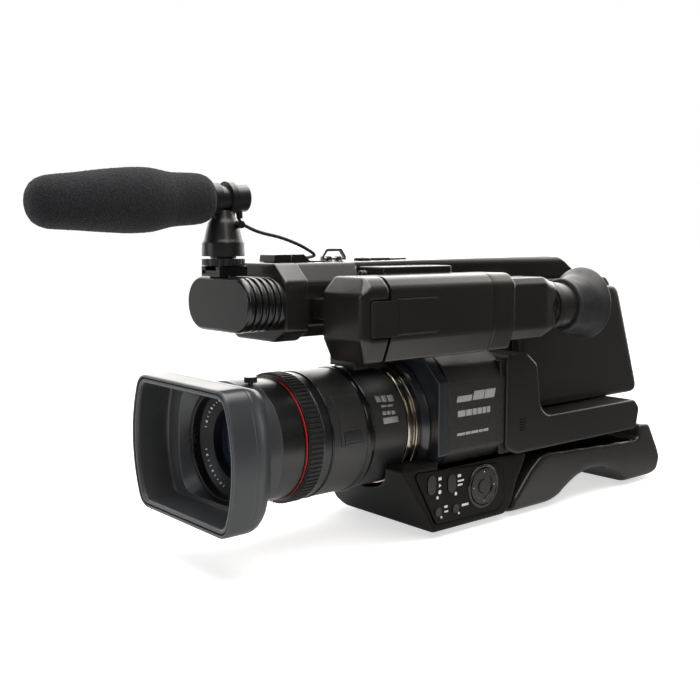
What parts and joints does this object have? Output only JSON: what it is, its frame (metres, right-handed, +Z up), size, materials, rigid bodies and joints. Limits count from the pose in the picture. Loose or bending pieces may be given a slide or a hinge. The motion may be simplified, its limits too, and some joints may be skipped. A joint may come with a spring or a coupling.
{
  "type": "shoulder camcorder",
  "caption": "Shoulder-mount camcorder with hooded zoom lens, top handle, swing-out monitor, viewfinder with eyecup, foam-covered microphone, side grip and arched shoulder rest.",
  "frame": {"origin": "mouth of the tripod thread, on the flat underside of the base", "axes": "+Z up, the lens looks along -Y, +X is the operator's left (the monitor and control side)"},
  "size_m": [0.2072, 0.5579, 0.2584],
  "materials": {
    "hood_plastic": "satin dark grey",
    "black_plastic": "satin",
    "barrel_paint": "satin black",
    "lens_glass": "coated",
    "red_paint": "gloss red",
    "black_rubber": "matte",
    "chrome": "polished",
    "bezel_gloss": "gloss black",
    "inner_metal": "black anodised",
    "crinkle_plastic": "crinkle texture",
    "body_plastic": "fine satin",
    "panel_gloss": "semi gloss",
    "circuit_board": "solder mask",
    "steel": "brushed",
    "foam": "open-cell foam",
    "grey_plastic": "satin",
    "grey_rubber": "soft matte",
    "webbing": "woven nylon"
  },
  "bodies": {
    "camcorder": {"lens_hood": "hood_plastic", "front_barrel": "barrel_paint", "name_ring": "barrel_paint", "front_element": "lens_glass", "accent_ring": "red_paint", "function_barrel": "barrel_paint", "rear_barrel": "barrel_paint", "chrome_ring": "chrome", "flange_ring": "bezel_gloss", "inner_tube": "inner_metal", "lens_groups": "lens_glass", "front_bezel": "bezel_gloss", "left_cover": "crinkle_plastic", "right_cover": "crinkle_plastic", "side_panel": "body_plastic", "tower_shell": "body_plastic", "cheek_panel": "body_plastic", "rear_cover": "body_plastic", "main_board": "circuit_board", "base_housing": "body_plastic", "control_plate": "panel_gloss", "tripod_plate": "steel", "case_screws": "steel", "shoulder_arm": "body_plastic", "shoulder_cushion": "black_rubber", "handle_body": "body_plastic", "handle_nose": "panel_gloss", "accessory_shoe": "inner_metal", "mic_stem": "black_plastic", "mic_tube": "barrel_paint", "mic_windscreen": "foam", "mic_cable": "black_rubber", "vf_housing": "body_plastic", "eyepiece_tube": "grey_plastic", "grip_body": "crinkle_plastic", "hand_strap": "webbing"},
    "hood_screw": {"hood_lock_screw": "black_plastic"},
    "manual_ring": {"manual_ring": "barrel_paint", "ring_grip": "black_rubber"},
    "camera_function": {"camera_function_button": "black_plastic"},
    "nav_dial": {"nav_dial": "black_plastic"},
    "nav_centre": {"nav_centre_button": "black_plastic"},
    "panel_button_1": {"panel_button_1": "black_plastic"},
    "panel_button_2": {"panel_button_2": "black_plastic"},
    "panel_button_3": {"panel_button_3": "black_plastic"},
    "panel_button_4": {"panel_button_4": "black_plastic"},
    "handle_rec": {"handle_rec_button": "black_plastic"},
    "handle_zoom": {"handle_zoom_rocker": "black_plastic"},
    "strap_loop": {"strap_loop": "steel"},
    "shoe_wheel": {"shoe_lock_wheel": "black_plastic"},
    "monitor": {"lcd_cover": "panel_gloss", "lcd_screen": "lens_glass", "lcd_hinge_arm": "body_plastic"},
    "diopter": {"diopter_ring": "black_plastic"},
    "eyecup": {"eyecup": "grey_rubber"},
    "battery": {"battery_pack": "black_plastic"},
    "battery_latch": {"battery_latch": "black_plastic"},
    "card_door": {"card_door": "body_plastic"},
    "grip_zoom": {"grip_zoom_rocker": "black_plastic"},
    "grip_rec": {"grip_rec_button": "red_paint"}
  },
  "joints": [
    {"name": "hood_lock_turn", "type": "hinge", "parent": "camcorder", "child": "hood_screw", "pos_m": [0.013, -0.168, 0.123], "axis": [0, 0, 1], "continuous": true},
    {"name": "manual_ring_turn", "type": "hinge", "parent": "camcorder", "child": "manual_ring", "pos_m": [0, -0.135, 0.078], "axis": [0, 1, 0], "continuous": true},
    {"name": "camera_function_press", "type": "slide", "parent": "camcorder", "child": "camera_function", "axis": [-0.9976, 0, -0.0698], "range_m": [0, 0.0006]},
    {"name": "nav_dial_turn", "type": "hinge", "parent": "camcorder", "child": "nav_dial", "pos_m": [0.06, 0.008, 0.031], "axis": [1, 0, 0], "continuous": true},
    {"name": "nav_centre_press", "type": "slide", "parent": "camcorder", "child": "nav_centre", "axis": [-1, 0, 0], "range_m": [0, 0.0006]},
    {"name": "panel_button_1_press", "type": "slide", "parent": "camcorder", "child": "panel_button_1", "axis": [-1, 0, 0], "range_m": [0, 0.0006]},
    {"name": "panel_button_2_press", "type": "slide", "parent": "camcorder", "child": "panel_button_2", "axis": [-1, 0, 0], "range_m": [0, 0.0006]},
    {"name": "panel_button_3_press", "type": "slide", "parent": "camcorder", "child": "panel_button_3", "axis": [-1, 0, 0], "range_m": [0, 0.0006]},
    {"name": "panel_button_4_press", "type": "slide", "parent": "camcorder", "child": "panel_button_4", "axis": [-1, 0, 0], "range_m": [0, 0.0006]},
    {"name": "handle_rec_press", "type": "slide", "parent": "camcorder", "child": "handle_rec", "axis": [0, 0, -1], "range_m": [0, 0.0008]},
    {"name": "handle_zoom_rock", "type": "hinge", "parent": "camcorder", "child": "handle_zoom", "pos_m": [0, -0.122, 0.1954], "axis": [1, 0, 0], "range_deg": [-5, 5]},
    {"name": "strap_loop_swing", "type": "hinge", "parent": "camcorder", "child": "strap_loop", "pos_m": [0, -0.087, 0.201], "axis": [0, 1, 0], "range_deg": [-70, 70]},
    {"name": "shoe_lock_turn", "type": "hinge", "parent": "camcorder", "child": "shoe_wheel", "pos_m": [0, -0.1795, 0.2], "axis": [0, 0, 1], "continuous": true},
    {"name": "lcd_open", "type": "hinge", "parent": "camcorder", "child": "monitor", "pos_m": [0.0835, -0.1232, 0.1645], "axis": [0, 0, -1], "range_deg": [0, 90]},
    {"name": "diopter_turn", "type": "hinge", "parent": "camcorder", "child": "diopter", "pos_m": [0.068, 0.065, 0.164], "axis": [0, 1, 0], "range_deg": [-25, 25]},
    {"name": "eyecup_turn", "type": "hinge", "parent": "camcorder", "child": "eyecup", "pos_m": [0.068, 0.085, 0.164], "axis": [0, 1, 0], "continuous": true},
    {"name": "battery_slide", "type": "slide", "parent": "camcorder", "child": "battery", "axis": [0, 1, 0], "range_m": [0, 0.04]},
    {"name": "battery_latch_slide", "type": "slide", "parent": "camcorder", "child": "battery_latch", "axis": [1, 0, 0], "range_m": [0, 0.003]},
    {"name": "card_door_open", "type": "hinge", "parent": "camcorder", "child": "card_door", "pos_m": [-0.0407, 0.084, 0.127], "axis": [0, 0, 1], "range_deg": [0, 100]},
    {"name": "grip_zoom_rock", "type": "hinge", "parent": "camcorder", "child": "grip_zoom", "pos_m": [-0.074, 0.008, 0.119], "axis": [1, 0, 0], "range_deg": [-6, 6]},
    {"name": "grip_rec_press", "type": "slide", "parent": "camcorder", "child": "grip_rec", "axis": [0, -1, 0], "range_m": [0, 0.0008]}
  ]
}
